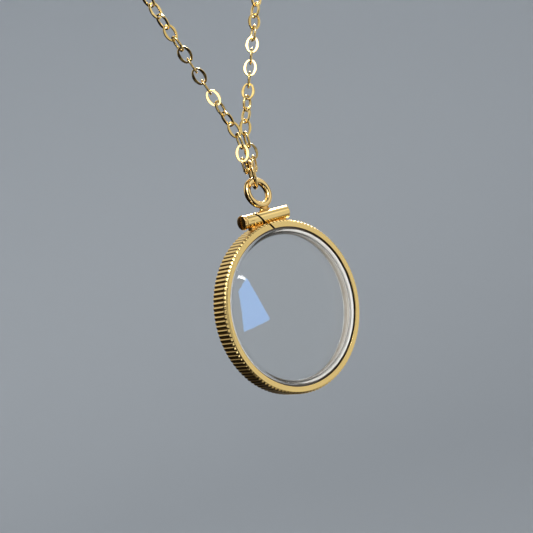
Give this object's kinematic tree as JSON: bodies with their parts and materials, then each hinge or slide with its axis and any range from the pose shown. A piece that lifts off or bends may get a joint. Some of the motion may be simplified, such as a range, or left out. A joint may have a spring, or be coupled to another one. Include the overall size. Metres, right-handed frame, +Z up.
{
  "type": "shaker locket",
  "caption": "Round clear shaker locket in a coin-edge screw-top bezel, hung by a bail ring and a jump ring on a whole loop of fine flat cable chain.",
  "frame": {"origin": "at the nape of the neck, in the middle of the clasp, where the necklace hangs as it is worn", "axes": "+Z up, +X to the right seen from the front, the front of the locket faces -Y"},
  "size_m": [0.1081, 0.0861, 0.1748],
  "materials": {
    "bezel_gold": "polished gold",
    "screw_gold": "polished gold",
    "ring_gold": "polished gold",
    "chain_gold": "polished gold",
    "crystal": "clear polished"
  },
  "bodies": {
    "necklace": {"chain": "chain_gold", "clasp": "chain_gold", "end_ring": "chain_gold"},
    "jump_ring": {"jump_ring": "ring_gold"},
    "locket": {"bezel": "bezel_gold", "front_crystal": "crystal", "back_crystal": "crystal"},
    "screw": {"screw": "screw_gold"}
  },
  "joints": [
    {"name": "sideways_swing", "type": "hinge", "parent": "necklace", "child": "jump_ring", "pos_m": [-0.00035, -0.08073, -0.13643], "axis": [0.515, 0.8572, 0], "range_deg": [-15, 15]},
    {"name": "front_swing", "type": "hinge", "parent": "jump_ring", "child": "locket", "pos_m": [-0.00034, -0.08049, -0.13944], "axis": [0.9945, -0.1045, 0], "range_deg": [-60, 60]},
    {"name": "screw_out", "type": "slide", "parent": "locket", "child": "screw", "axis": [-1, 0, 0], "range_m": [0, 0.008]}
  ]
}
